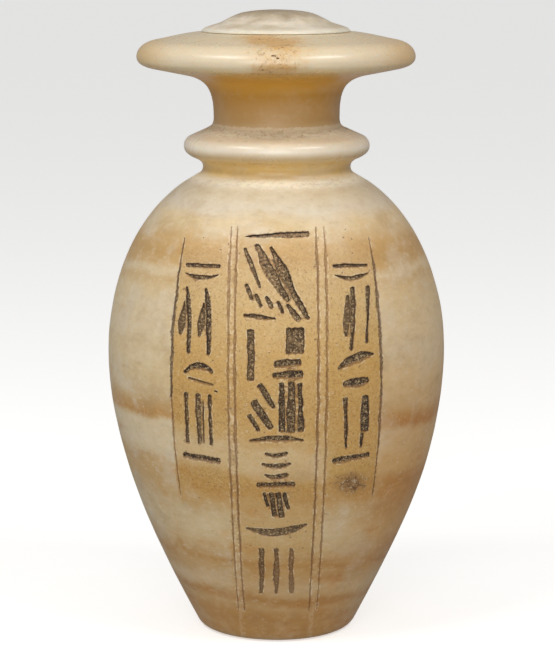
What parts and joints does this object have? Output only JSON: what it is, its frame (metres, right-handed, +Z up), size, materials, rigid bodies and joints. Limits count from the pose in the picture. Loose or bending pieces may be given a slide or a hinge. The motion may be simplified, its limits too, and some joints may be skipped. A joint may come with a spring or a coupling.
{
  "type": "canopic jar",
  "caption": "Ovoid carved calcite jar with a ring collar, hollow neck and wide disc rim, a loose low-domed lid, and a ruled panel of shallow cut strokes on the front.",
  "frame": {"origin": "centre of the flat underside of the foot", "axes": "+Z up along the jar's axis of revolution, -Y towards the carved front, +X to the viewer's right"},
  "size_m": [0.1896, 0.1896, 0.35],
  "materials": {
    "jar_calcite": "polished banded calcite, honey and cream, with an ochre tint in the carved panel",
    "lid_calcite": "worn pale calcite with a soft sheen"
  },
  "bodies": {
    "root": {"jar": "jar_calcite", "lid": "lid_calcite"}
  },
  "joints": []
}
